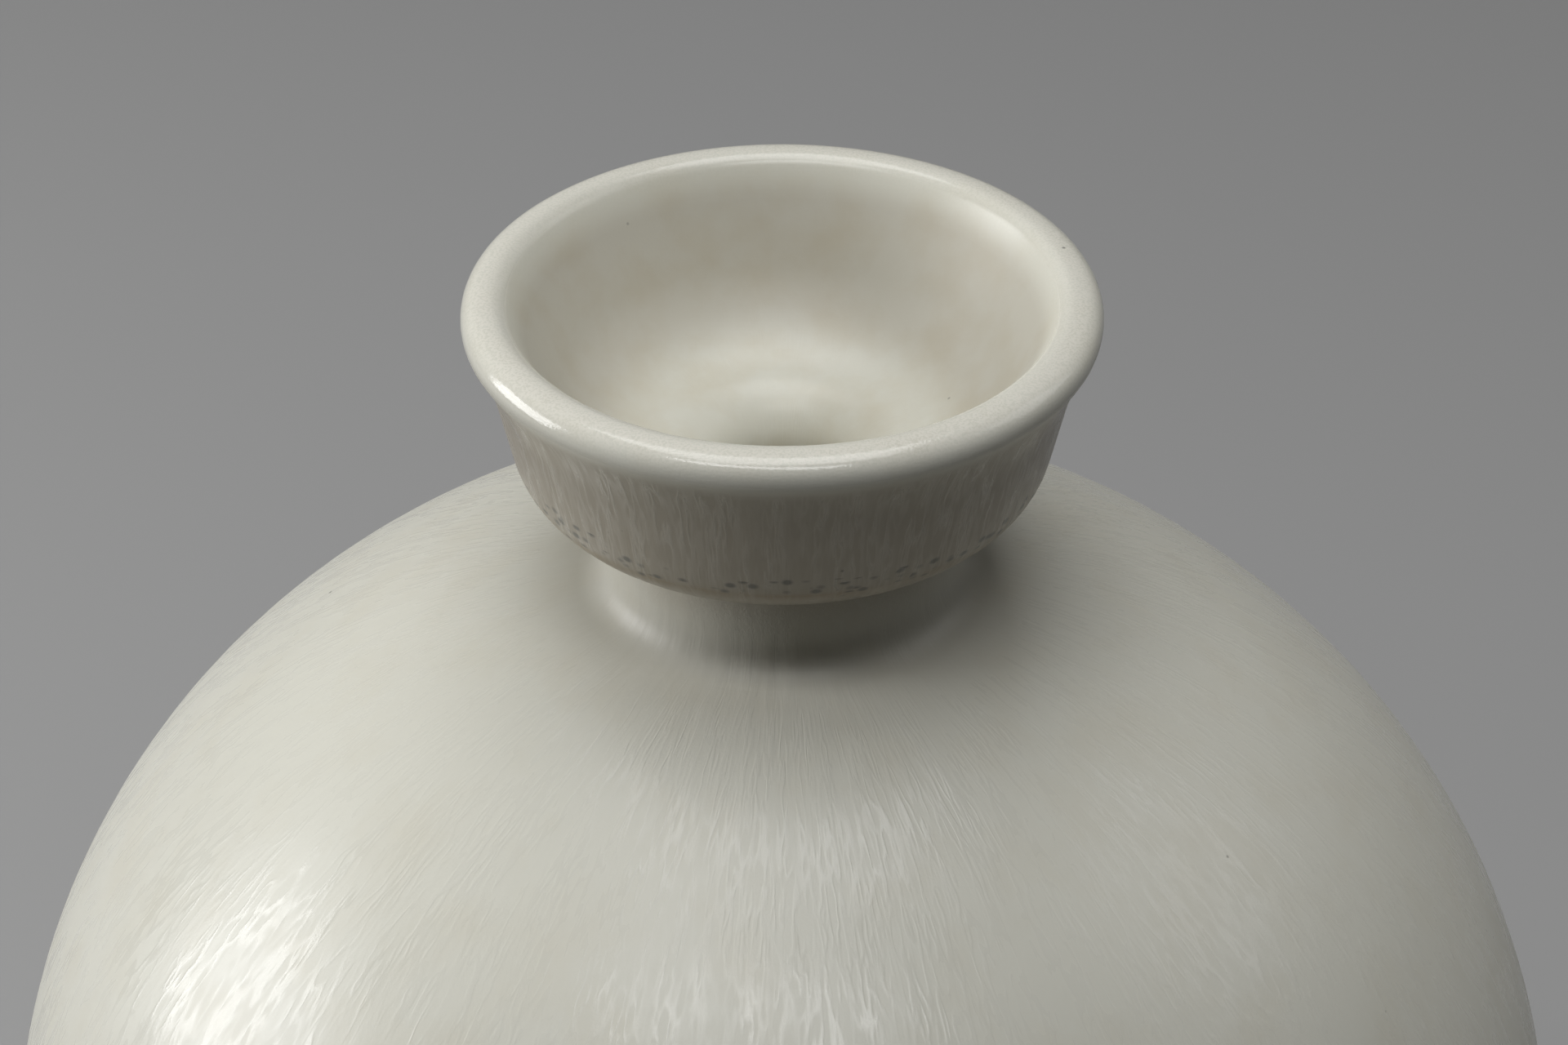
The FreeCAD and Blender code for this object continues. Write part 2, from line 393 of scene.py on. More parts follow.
@dataclass
class Outline:
    """A section drawn point by point in the plane of the axis.

    Attributes:
        inset: How far below the glaze's face it runs.
        body_step: About how far apart its points are on the body.
        wall_step: About how far apart they are on the cup.
        lip_step: About how far apart they are where it bends sharply.
        points: The places drawn so far.
        marks: Which point each named place is.
    """

    inset: float
    body_step: float
    wall_step: float
    lip_step: float
    points: list[Vector] = field(default_factory=list)
    marks: dict[Mark, int] = field(default_factory=dict)

    def add(self, spot: Vector) -> None:
        """Draws one point, unless it is where the last one is."""
        if not self.points or (spot - self.points[-1]).length > SAME_SPOT:
            self.points.append(spot)

    def line(self, end: Vector, step: float) -> None:
        """Draws a straight run.

        Args:
            end: Where it ends.
            step: About how far apart its points are.
        """
        start = self.points[-1]
        count = max(1, round((end - start).length / step))
        for i in range(count):
            self.add(start.lerp(end, (i + 1) / count))

    def arc(
        self, centre: Vector, radius: float, start_deg: float, end_deg: float, step: float
    ) -> None:
        """Draws a run along a circle.

        Args:
            centre: The circle's centre.
            radius: The circle's radius.
            start_deg: Direction of its first point from the centre.
            end_deg: Direction of its last point from the centre.
            step: About how far apart its points are.
        """
        length = radius * math.radians(abs(end_deg - start_deg))
        count = max(2, round(length / step))
        for i in range(count + 1):
            self.add(away(centre, radius, start_deg + (end_deg - start_deg) * i / count))

    def mark(self, name: Mark) -> None:
        """Names the last point drawn."""
        self.marks[name] = len(self.points) - 1

    def run(self) -> Run:
        """Measures the distances along the outline.

        Returns:
            The distance of each point and of each named place.
        """
        spots = np.array([tuple(p) for p in self.points])
        gaps = np.linalg.norm(np.diff(spots, axis=0), axis=1)
        lengths = np.concatenate([[0.0], np.cumsum(gaps)])
        return Run(lengths, {name: lengths[index] for name, index in self.marks.items()})


@dataclass(frozen=True)
class RunningGlaze:
    """Satin off-white feldspar glaze that ran in the kiln, as a hare's-fur glaze does.

    A web of fine threads, paler and glossier than the coat between them, breaks the highlights
    up. Under the lip, on the neck and in the bowl the coat is darker and greyer, partly lean over
    the clay and partly painted shade, with faint warm clouds. A brown line shows where it drew off
    the cup's lower edge, with a row of long iron specks above it. The lip's crown is creamy and
    pricked.

    Attributes:
        ridge: Colour of the threads.
        cream: Colour of the lip's crown.
        lean: Grey brown that a lean coat takes from the clay, laid on also as painted shade under
            the lip, under the cup and in the bowl.
        thin: Colour of the drawn edge.
        drift: How far the threads stray from straight, from place to place.
        web: The noise whose level lines are the threads.
        patches: Where the threads are weaker.
        speck_stretch: How much wider a cell of the long specks is than high.
    """

    name: str = "running_satin_glaze"
    coat: str = "DFDED2"
    ridge: str = "ECEBE4"
    cream: str = "ECE9DE"
    # Grey brown of a lean coat, also used as painted shade on the cup's outside, the neck and the
    # bowl's wall.
    lean: str = "8A7D6A"
    warm: str = "C8BC9E"
    thin: str = "8A6F42"
    speck: str = "66655F"
    valley_roughness: float = 0.38
    thread_roughness: float = 0.18
    ior: float = 1.5
    streak_length: float = 4.2 * MM
    streak_wander: float = 0.7
    streak_height: float = 0.02 * MM
    drift: Mottle = Mottle(0.4, 1.0)
    web: Mottle = Mottle(0.8, 1.5)
    thread_width: float = 0.15
    patches: Mottle = Mottle(0.45, 1.0)
    patch_ramp: Ramp = Ramp(0.35, 0.6, start=0.25)
    clouds: Mottle = Mottle(1 / (9 * MM), 4.0, 0.55)
    cloud_ramp: Ramp = Ramp(0.46, 0.7)
    uneven: Mottle = Mottle(1 / (6.25 * MM), 2.0)
    uneven_ramp: Ramp = Ramp(0.35, 0.6, start=0.45)
    cup_radius: float = 29.5 * MM
    speck_height: float = 1.2 * MM
    speck_stretch: float = 1.4
    speck_ramp: Ramp = Ramp(0.22, 0.46, 0.85, 0.0)
    pin_spacing: float = 6.0 * MM
    pin_ramp: Ramp = Ramp(0.02, 0.045, 0.7, 0.0)
    pin_share: float = 0.22
    grain: Mottle = Mottle(1 / (0.3 * MM), 1.0)
    grain_height: float = 0.016 * MM
    prick_ramp: Ramp = Ramp(0.38, 0.56)

    def make(self) -> bpy.types.Material:
        """Builds the material on the coat's own flow map and values.

        Returns:
            The material.
        """
        material, tree = new_material(self.name)
        spot = object_place(tree)
        tube = self.tube(tree)
        lit = calculate(tree, "MULTIPLY", self.threads(tree, tube), attribute(tree, Look.STREAKS))
        grain = mottle(tree, spot, self.grain)
        pricks = ramp(tree, grain, self.prick_ramp)

        base = colour(self.coat)
        for share, above in (
            (self.warm_clouds(tree, spot), self.warm),
            # Lean grey-brown tone, partly painted shade under the lip, under the cup and in the
            # bowl.
            (attribute(tree, Look.LEAN_AND_SHADE), self.lean),
            (calculate(tree, "MULTIPLY", pricks, attribute(tree, Look.CROWN)), self.cream),
            (calculate(tree, "MULTIPLY", lit, attribute(tree, Look.TINT)), self.ridge),
            (self.drawn_edge(tree, spot), self.thin),
            (self.long_specks(tree, tube), self.speck),
            (scatter(tree, spot, 1 / self.pin_spacing, self.pin_ramp, self.pin_share), self.speck),
        ):
            base = mix(tree, share, base, colour(above))

        relief = bump(tree, lit, self.streak_height)
        strength = attribute(tree, Look.GRAIN)
        relief = bump(tree, grain, self.grain_height, Normal=relief, Strength=strength)
        rough = ramp(tree, lit, Ramp(0.0, 1.0, self.valley_roughness, self.thread_roughness))
        rough = calculate(tree, "ADD", rough, attribute(tree, Look.DULL))
        links = {"Base Color": base, "Roughness": rough, "IOR": self.ior, "Normal": relief}
        add_surface(tree, links)
        return material

    def tube(self, tree: Tree) -> Socket:
        """Wraps the flow map into a tube, so that no pattern has a seam.

        Args:
            tree: Node tree of the material.

        Returns:
            A vector: the turn as a point of a unit circle, and the length of the run.
        """
        flow = add_node(tree, "UVMap", uv_map="flow").outputs["UV"]
        along = add_node(tree, "SeparateXYZ", {0: flow})
        turn = calculate(tree, "MULTIPLY", along.outputs["X"], math.tau)
        across, deep = calculate(tree, "COSINE", turn), calculate(tree, "SINE", turn)
        links = {"X": across, "Y": deep, "Z": along.outputs["Y"]}
        return add_node(tree, "CombineXYZ", links).outputs[0]

    def threads(self, tree: Tree, tube: Socket) -> Socket:
        """Draws the web of threads: the level lines of a noise that is stretched down the run.

        Args:
            tree: Node tree of the material.
            tube: The flow map as a tube.

        Returns:
            1 along the middle of a thread, down to 0 beside it.
        """
        ring = attribute(tree, Look.RING)
        links = {"X": ring, "Y": ring, "Z": 1 / self.streak_length}
        stretch = add_node(tree, "CombineXYZ", links).outputs[0]
        on_run = combine(tree, "MULTIPLY", tube, stretch)
        drift = mottle(tree, on_run, self.drift, "Color")
        off_middle = combine(tree, "SUBTRACT", drift, (NOISE_MIDDLE,) * 3)
        links = {0: off_middle, "Scale": self.streak_wander}
        stray = add_node(tree, "VectorMath", links, operation="SCALE").outputs[0]
        web = mottle(tree, combine(tree, "ADD", on_run, stray), self.web)
        off_line = calculate(tree, "ABSOLUTE", calculate(tree, "SUBTRACT", web, NOISE_MIDDLE))
        line = ramp(tree, off_line, Ramp(0.0, self.thread_width, 1.0, 0.0, smooth=True))
        broken = ramp(tree, mottle(tree, on_run, self.patches), self.patch_ramp)
        return calculate(tree, "MULTIPLY", line, broken)

    def warm_clouds(self, tree: Tree, spot: Socket) -> Socket:
        """Spreads faint warm clouds, as strong as the coat's own value says."""
        share = ramp(tree, mottle(tree, spot, self.clouds), self.cloud_ramp)
        return calculate(tree, "MULTIPLY", share, attribute(tree, Look.WARM))

    def drawn_edge(self, tree: Tree, spot: Socket) -> Socket:
        """Gives the line where the coat drew off the cup's lower edge, stronger here and there."""
        share = ramp(tree, mottle(tree, spot, self.uneven), self.uneven_ramp)
        return calculate(tree, "MULTIPLY", share, attribute(tree, Look.THIN))

    def long_specks(self, tree: Tree, tube: Socket) -> Socket:
        """Scatters long specks in the row above the cup's lower edge.

        Args:
            tree: Node tree of the material.
            tube: The flow map as a tube.

        Returns:
            How strong a speck is at a point.
        """
        around = self.cup_radius / (self.speck_height * self.speck_stretch)
        row = combine(tree, "MULTIPLY", tube, (around, around, 1 / self.speck_height))
        return scatter(tree, row, 1.0, self.speck_ramp, attribute(tree, Look.SPECKS))


@dataclass(frozen=True)
class PlainGlaze:
    """Poured liner glaze: the same recipe, still and smooth, with faint warm clouds."""

    name: str = "poured_liner_glaze"
    coat: str = "DAD7CB"
    warm: str = "CBBFAC"
    roughness: float = 0.36
    ior: float = 1.5
    clouds: Mottle = Mottle(1 / (12 * MM), 2.0)

    def make(self) -> bpy.types.Material:
        """Builds the material on object coordinates.

        Returns:
            The material.
        """
        material, tree = new_material(self.name)
        clouds = mottle(tree, object_place(tree), self.clouds)
        base = mix(tree, clouds, colour(self.coat), colour(self.warm))
        add_surface(tree, {"Base Color": base, "Roughness": self.roughness, "IOR": self.ior})
        return material


@dataclass(frozen=True)
class FiredClay:
    """Bare stoneware, fired to a warm toasted grey, with grog, iron specks and turning marks."""

    name: str = "bare_stoneware"
    clay: str = "A08B74"
    toasted: str = "8A6E55"
    iron: str = "4A3A2E"
    roughness: float = 0.85
    clouds: Mottle = Mottle(1 / (9 * MM), 3.0)
    speck_spacing: float = 2.2 * MM
    speck_ramp: Ramp = Ramp(0.08, 0.2, 0.8, 0.0)
    turning: Mottle = Mottle(1 / (0.7 * MM), 2.0)
    turning_height: float = 0.06 * MM
    grog: Mottle = Mottle(1 / (0.8 * MM), 4.0)
    grog_height: float = 0.05 * MM

    def make(self) -> bpy.types.Material:
        """Builds the material on object coordinates.

        Returns:
            The material.
        """
        material, tree = new_material(self.name)
        spot = object_place(tree)
        base = mix(tree, mottle(tree, spot, self.clouds), colour(self.clay), colour(self.toasted))
        links = {"Vector": spot, "Scale": 1 / self.speck_spacing}
        off_speck = add_node(tree, "TexVoronoi", links).outputs["Distance"]
        base = mix(tree, ramp(tree, off_speck, self.speck_ramp), base, colour(self.iron))
        rings = mottle(tree, self.lathe(tree, spot), self.turning)
        relief = bump(tree, rings, self.turning_height)
        relief = bump(tree, mottle(tree, spot, self.grog), self.grog_height, Normal=relief)
        add_surface(tree, {"Base Color": base, "Roughness": self.roughness, "Normal": relief})
        return material

    def lathe(self, tree: Tree, spot: Socket) -> Socket:
        """Turns a place to its distance from the axis and its height, for marks that run round.

        Args:
            tree: Node tree of the material.
            spot: The place on the piece.

        Returns:
            A vector of the distance, zero and the height.
        """
        split = add_node(tree, "SeparateXYZ", {0: spot}).outputs
        level = add_node(tree, "CombineXYZ", {"X": split["X"], "Y": split["Y"]}).outputs[0]
        radius = add_node(tree, "VectorMath", {0: level}, operation="LENGTH")
        links = {"X": radius.outputs["Value"], "Z": split["Z"]}
        return add_node(tree, "CombineXYZ", links).outputs[0]


@dataclass(frozen=True)
class Fades:
    """Where along the coat its looks come and go, from the rolled edge to the throat."""

    streaks_in: Fade = Fade(Mark.ROLL_END, 0, 4 * MM)
    ridges_in: Fade = Fade(Mark.ROLL_END, 0, 6 * MM)
    neck_in: Fade = Fade(Mark.SHOULDER, -10 * MM, 12 * MM)
    edge: Fade = Fade(Mark.CUP_EDGE, -3 * MM, 3.5 * MM)
    drawn_edge: Fade = Fade(Mark.CUP_EDGE, 0.6 * MM, 0.8 * MM)
    speck_row: Fade = Fade(Mark.CUP_EDGE, 2.4 * MM, 1.3 * MM)
    streaks_out: Fade = Fade(Mark.LIP_UNDER, -2 * MM, 2 * MM)
    outside_out: Fade = Fade(Mark.LIP_UNDER, -2 * MM, 4 * MM)
    lip_in: Fade = Fade(Mark.LIP_UNDER, 0, 2 * MM)
    crown: Fade = Fade(Mark.CREST, -1 * MM, 2.5 * MM)
    lip_out: Fade = Fade(Mark.BOWL_WALL, -1.5 * MM, 2 * MM)
    bowl_in: Fade = Fade(Mark.BOWL_WALL, 0, 4 * MM)
    floor_in: Fade = Fade(Mark.BOWL_FLOOR, -10 * MM, 8 * MM)


@dataclass
class GlazeCoat:
    """The outer glaze, from its rolled edge above the foot up over the lip and down the throat.

    Attributes:
        belly_drop: From the widest line down to where the lower curve would close.
        shoulder_rise: From the widest line up to where the shoulder's curve would close.
        cup_edge_deg: Which way the cup's lower edge faces, from level.
        body_streaks: How many threads fit round the body.
        cup_streaks: How many threads fit round the cup.
        neck_calm: How much weaker the threads are on the neck and at the cup's edge.
        outside_calm: How much weaker they are on the cup's outside.
        ridge_round: How many bumps of the fine relief fit on a radian.
        wobble_round: How many bumps of the broad relief fit on a radian.
        still_points: How many points at the face's end the relief leaves in place.
    """

    belly_drop: float = 88.2 * MM
    shoulder_rise: float = 88.2 * MM
    shoulder_fillet: float = 4.5 * MM
    foot_radius: float = 33.0 * MM
    foot_height: float = 5.1 * MM
    bare_band: float = 4.5 * MM
    roll_radius: float = 0.9 * MM
    thickness: float = 0.5 * MM
    neck_radius: float = 19.95 * MM
    neck_length: float = 11.7 * MM
    cup_floor: float = 6.0 * MM
    underside_step: float = 1.75 * MM
    underside_fillet: float = 1.4 * MM
    cavetto_radius: float = 21.0 * MM
    cup_edge_deg: float = -35.0
    cup_wall_lean_deg: float = 12.65
    lip_undercut_deg: float = 33.4
    bowl_wall_lean_deg: float = 30.0
    bowl_floor_slope_deg: float = 10.0
    bowl_floor_run: float = 0.5 * MM
    throat_edge_round: float = 7.0 * MM
    throat_reach: float = 6.0 * MM
    lip_width: float = 5.4 * MM
    lip_inner_round: float = 2.106 * MM
    lip_outer_round: float = 2.2518 * MM
    lip_crown_fall_deg: float = 12.3
    mouth_radius: float = 35.0 * MM
    body_streaks: int = 430
    cup_streaks: int = 330
    neck_calm: float = 0.7
    outside_calm: float = 0.35
    body_ridge: float = 0.03 * MM
    cup_ridge: float = 0.02 * MM
    ridge_length: float = 7 * MM
    ridge_round: float = 22
    wobble_height: float = 0.05 * MM
    wobble_length: float = 40 * MM
    wobble_round: float = 1.6
    still_points: int = 3
    steps_round: int = 330
    body_step: float = 2.3 * MM
    wall_step: float = 0.95 * MM
    lip_step: float = 0.4 * MM
    throat_edge_step: float = 0.52 * MM
    throat_step: float = 1.5 * MM
    hidden_step: float = 9.0 * MM
    fades: Fades = Fades()

    def __post_init__(self) -> None:
        """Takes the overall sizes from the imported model."""
        self.throat_radius, self.belly_radius, self.lip_height = reach("outer_glaze")
        share = math.sqrt(1 - (self.foot_radius / self.belly_radius) ** 2)
        self.belly_height = self.foot_height + self.belly_drop * share
        share = math.sqrt(1 - (self.neck_radius / self.belly_radius) ** 2)
        self.underside = self.belly_height + self.shoulder_rise * share + self.neck_length
        self.floor_edge = self.underside + self.cup_floor
        self.crest_across = self.mouth_radius - self.lip_width + self.lip_inner_round
        band_across = self.foot_radius + self.bare_band
        self.band_deg = math.degrees(math.acos(band_across / (self.belly_radius - self.thickness)))

    def dome_point(self, inset: float, rise: float, turn_deg: float) -> Vector:
        """Gives a point of the body's ellipse, 0 degrees being its widest line."""
        turn = math.radians(turn_deg)
        across = (self.belly_radius - inset) * math.cos(turn)
        return place(across, self.belly_height + rise * math.sin(turn))

    def shoulder_meets_neck(self, inset: float) -> tuple[float, Vector, float]:
        """Finds where the shoulder ends and the hollow into the neck starts.

        Args:
            inset: How far below the glaze's face the run lies.

        Returns:
            The shoulder's last turn, and the hollow's centre and first direction.
        """
        rise = self.shoulder_rise - inset
        fillet = self.shoulder_fillet + inset

        def facing(turn_deg: float) -> float:
            """Gives the direction that the shoulder faces, from level."""
            turn = math.radians(turn_deg)
            return math.degrees(
                math.atan2(math.sin(turn) / rise, math.cos(turn) / (self.belly_radius - inset))
            )

        def centre(turn_deg: float) -> Vector:
            """Gives the centre of a hollow that touches the shoulder at a turn."""
            return away(self.dome_point(inset, rise, turn_deg), fillet, facing(turn_deg))

        centre_across = self.neck_radius + self.shoulder_fillet
        turn_deg = halve(0, QUARTER, lambda t: centre(t).x > centre_across)
        return turn_deg, centre(turn_deg), facing(turn_deg) + HALF

    def draw_body(self, outline: Outline, start_deg: float) -> None:
        """Draws the body from near the foot to the foot of the neck.

        Args:
            outline: The outline to draw on.
            start_deg: Where on the lower half it starts, from the widest line.
        """
        inset, step = outline.inset, outline.body_step
        end_deg, centre, first_deg = self.shoulder_meets_neck(inset)
        for rise, first, last in (
            (-(self.belly_drop - inset), start_deg, 0),
            (self.shoulder_rise - inset, 0, end_deg),
        ):
            count = round(self.belly_radius * math.radians(abs(last - first)) / step)
            for i in range(count + 1):
                outline.add(self.dome_point(inset, rise, first + (last - first) * i / count))
        outline.mark(Mark.SHOULDER)
        outline.arc(centre, self.shoulder_fillet + inset, first_deg, HALF, min(step, self.wall_step))
        outline.mark(Mark.NECK_FOOT)

    def draw_cup_outside(self, outline: Outline) -> None:
        """Draws the neck and the outside of the cup, up to the crest of the lip.

        Args:
            outline: The outline to draw on.
        """
        inset, wall_step, lip_step = outline.inset, outline.wall_step, outline.lip_step
        wall_deg = -self.cup_wall_lean_deg
        crown_start = QUARTER - self.lip_crown_fall_deg
        crown_rest = self.lip_width - self.lip_inner_round - self.lip_outer_round
        crown_fall = math.radians(self.lip_crown_fall_deg)
        crown_radius = self.lip_outer_round + crown_rest / math.sin(crown_fall)
        crown = place(self.crest_across, self.lip_height - crown_radius)
        lip = away(crown, crown_radius - self.lip_outer_round, crown_start)
        cavetto = away(lip, self.lip_outer_round + self.cavetto_radius, -self.lip_undercut_deg)
        wall_top = away(cavetto, self.cavetto_radius, HALF + wall_deg)
        lean = math.radians(self.cup_wall_lean_deg)
        base_across = self.neck_radius + self.underside_step
        out_of_line = math.cos(lean) * (wall_top.x - base_across)
        out_of_line -= math.sin(lean) * (wall_top.z - self.underside)
        base_round = out_of_line / (1 - math.sin(lean))
        base = place(base_across, self.underside + base_round)
        fillet_across = self.neck_radius + self.underside_fillet
        fillet = place(fillet_across, self.underside - self.underside_fillet)
        fillet_radius = self.underside_fillet + inset
        hollow_radius = self.cavetto_radius + inset

        outline.line(away(fillet, fillet_radius, HALF), wall_step)
        outline.arc(fillet, fillet_radius, HALF, QUARTER, lip_step)
        outline.mark(Mark.CUP_FOOT)
        outline.line(away(base, base_round - inset, -QUARTER), lip_step)
        outline.arc(base, base_round - inset, -QUARTER, self.cup_edge_deg, wall_step)
        outline.mark(Mark.CUP_EDGE)
        outline.arc(base, base_round - inset, self.cup_edge_deg, wall_deg, wall_step)
        outline.line(away(cavetto, hollow_radius, HALF + wall_deg), wall_step)
        outline.arc(
            cavetto, hollow_radius, HALF + wall_deg, HALF - self.lip_undercut_deg, wall_step
        )
        outline.mark(Mark.LIP_UNDER)
        outline.arc(lip, self.lip_outer_round - inset, -self.lip_undercut_deg, crown_start, lip_step)
        outline.arc(crown, crown_radius - inset, crown_start, QUARTER, lip_step)
        outline.mark(Mark.CREST)

    def draw_cup_inside(self, outline: Outline) -> None:
        """Draws the inside of the cup from the crest of the lip to the top of the bore.

        Args:
            outline: The outline to draw on.
        """
        inset, wall_step = outline.inset, outline.wall_step
        lip = place(self.crest_across, self.lip_height - self.lip_inner_round)
        edge_across = self.throat_radius + self.throat_edge_round
        edge = place(edge_across, self.floor_edge - self.throat_edge_round)
        wall_facing_deg = HALF - self.bowl_wall_lean_deg
        floor_facing_deg = QUARTER + self.bowl_floor_slope_deg
        wall_top = away(lip, self.lip_inner_round, wall_facing_deg)
        floor_end = away(edge, self.throat_edge_round, floor_facing_deg)
        wall_facing = away(place(0, 0), 1, wall_facing_deg)
        along_floor = away(place(0, 0), 1, self.bowl_floor_slope_deg)
        floor_length = wall_facing.dot(wall_top - floor_end) / wall_facing.dot(along_floor)
        half_bend_deg = (wall_facing_deg - floor_facing_deg) / 2
        half_bend = math.radians(half_bend_deg)
        curve_radius = (floor_length - self.bowl_floor_run) / math.tan(half_bend)
        curve = away(
            away(floor_end, floor_length, self.bowl_floor_slope_deg),
            curve_radius / math.cos(half_bend),
            floor_facing_deg + half_bend_deg,
        )
        radius = curve_radius + inset
        edge_round = self.throat_edge_round - inset

        outline.arc(lip, self.lip_inner_round - inset, QUARTER, wall_facing_deg, outline.lip_step)
        outline.mark(Mark.BOWL_WALL)
        outline.line(away(curve, radius, wall_facing_deg - HALF), wall_step)
        outline.arc(curve, radius, wall_facing_deg - HALF, floor_facing_deg - HALF, wall_step)
        outline.mark(Mark.BOWL_FLOOR)
        outline.line(away(edge, edge_round, floor_facing_deg), wall_step)
        outline.arc(edge, edge_round, floor_facing_deg, HALF, min(wall_step, self.throat_edge_step))

    def draw_roll(self, outline: Outline) -> float:
        """Draws the rolled edge from the bare clay out to the coat's own face.

        Args:
            outline: The outline to draw on.

        Returns:
            The turn of the body's ellipse at which the face starts.
        """
        clay_drop = self.belly_drop - self.thickness
        centre = self.dome_point(self.thickness, -clay_drop, self.band_deg)

        def gap(inset: float, drop: float, turn_deg: float) -> float:
            """Gives the distance from the roll's centre to a point of the ellipse."""
            return (self.dome_point(inset, -drop, turn_deg) - centre).length

        clay_deg = halve(
            self.band_deg, QUARTER, lambda t: gap(self.thickness, clay_drop, t) < self.roll_radius
        )
        face_deg = halve(0, self.band_deg, lambda t: gap(0, self.belly_drop, t) > self.roll_radius)
        ends = [
            self.dome_point(self.thickness, -clay_drop, clay_deg) - centre,
            self.dome_point(0, -self.belly_drop, face_deg) - centre,
        ]
        first_deg, last_deg = [math.degrees(math.atan2(e.z, e.x)) for e in ends]
        outline.arc(centre, self.roll_radius, first_deg, last_deg, self.lip_step)
        outline.mark(Mark.ROLL_END)
        return face_deg

    def outline(self) -> tuple[Outline, int]:
        """Draws the coat's whole closed section.

        Returns:
            The outline, and how many of its points are on the face that shows.
        """
        outline = Outline(0, self.body_step, self.wall_step, self.lip_step)
        self.draw_body(outline, self.draw_roll(outline))
        self.draw_cup_outside(outline)
        self.draw_cup_inside(outline)
        throat_end = self.floor_edge - self.throat_edge_round - self.throat_reach
        outline.line(place(self.throat_radius, throat_end), self.throat_step)
        shown = len(outline.points)

        hidden = Outline(self.thickness, self.hidden_step, self.hidden_step, self.hidden_step)
        self.draw_body(hidden, self.band_deg)
        self.draw_cup_outside(hidden)
        self.draw_cup_inside(hidden)
        hidden.add(place(self.throat_radius + self.thickness, outline.points[-1].z))
        for spot in reversed(hidden.points):
            outline.add(spot)
        return outline, shown

    def build(self, material: bpy.types.Material) -> None:
        """Models the coat and dresses it.

        Args:
            material: The running glaze.
        """
        outline, shown = self.outline()
        run = outline.run()
        piece = spin_outline("glaze_coat", outline, self.steps_round)
        rows = match_rows(piece, outline)
        self.map_flow(piece, run, rows)
        self.set_looks(piece, run, rows, shown)
        self.ripple(piece, run, rows, shown)
        bpy.ops.object.shade_smooth()
        piece.data.materials.clear()
        piece.data.materials.append(material)
        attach(piece, BODY)
        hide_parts("outer_glaze")
        log.info("glaze coat: %d faces", len(piece.data.polygons))

    def map_flow(self, piece: bpy.types.Object, run: Run, rows: np.ndarray) -> None:
        """Writes the flow map: the share of a turn across, and the length of the run up.

        Args:
            piece: The spun coat, all of it quads.
            run: Distances along its section.
            rows: The section's point that each vertex comes from.
        """
        mesh = piece.data
        corners = np.empty(len(mesh.loops), dtype=np.int64)
        mesh.loops.foreach_get("vertex_index", corners)
        spots = triples(mesh.vertices, "co")
        turns = np.arctan2(spots[:, 1], spots[:, 0]) / math.tau % 1.0
        across = turns[corners].reshape(-1, QUAD_CORNERS)
        wraps = across.max(axis=1) - across.min(axis=1) > HALF_TURN
        across[wraps] = np.where(across[wraps] < HALF_TURN, across[wraps] + 1, across[wraps])
        flow = np.stack([across.reshape(-1), run.lengths[rows[corners]]], axis=1)
        layer = mesh.uv_layers.new(name="flow")
        layer.data.foreach_set("uv", flow.reshape(-1))

    def zones(self, run: Run) -> dict[Zone, np.ndarray]:
        """Works out how far each point of the section belongs to each zone of the coat.

        Args:
            run: Distances along the section.

        Returns:
            A share for each point, by zone.
        """
        fades = self.fades
        neck_foot, cup_foot = run.at[Mark.NECK_FOOT], run.at[Mark.CUP_FOOT]
        cup = run.rise(Fade(Mark.NECK_FOOT, 0, cup_foot - neck_foot))
        outside = cup * (1 - run.rise(fades.outside_out))
        neck = np.where(run.lengths < cup_foot, run.rise(fades.neck_in) - outside, 0.0)
        bowl = run.rise(fades.bowl_in)
        floor = run.rise(fades.floor_in)
        streaked = run.rise(fades.streaks_in) * (1 - run.rise(fades.streaks_out))
        calm = np.maximum(neck, run.band(fades.edge))
        streaked = streaked * (1 - self.neck_calm * calm) * (1 - self.outside_calm * outside)
        return {
            Zone.WHOLE: np.ones(len(run.lengths)),
            Zone.STREAKED: streaked,
            Zone.CUP: cup,
            Zone.OUTSIDE: outside,
            Zone.NECK: neck,
            Zone.LIP: run.rise(fades.lip_in) * (1 - run.rise(fades.lip_out)),
            Zone.BOWL: bowl,
            Zone.BOWL_WALL: bowl * (1 - floor),
            Zone.BOWL_FLOOR: floor,
            Zone.CROWN: run.band(fades.crown),
            Zone.DRAWN_EDGE: run.band(fades.drawn_edge),
            Zone.SPECK_ROW: run.band(fades.speck_row),
        }

    def set_looks(self, piece: bpy.types.Object, run: Run, rows: np.ndarray, shown: int) -> None:
        """Writes the values that the glaze reads at each point, zero on the hidden face.

        Args:
            piece: The spun coat.
            run: Distances along its section.
            rows: The section's point that each vertex comes from.
            shown: How many of the section's points are on the face that shows.
        """
        on = self.zones(run)
        looks = {
            look: sum(weight * on[zone] for zone, weight in weights.items())
            for look, weights in LOOKS.items()
        }
        ring = self.body_streaks + (self.cup_streaks - self.body_streaks) * on[Zone.CUP]
        looks[Look.RING] = ring / math.tau
        for look, values in looks.items():
            values = np.where(np.arange(len(values)) < shown, values, 0.0)
            layer = piece.data.attributes.new(look.value, "FLOAT", "POINT")
            layer.data.foreach_set("value", values[rows].astype(np.float32))

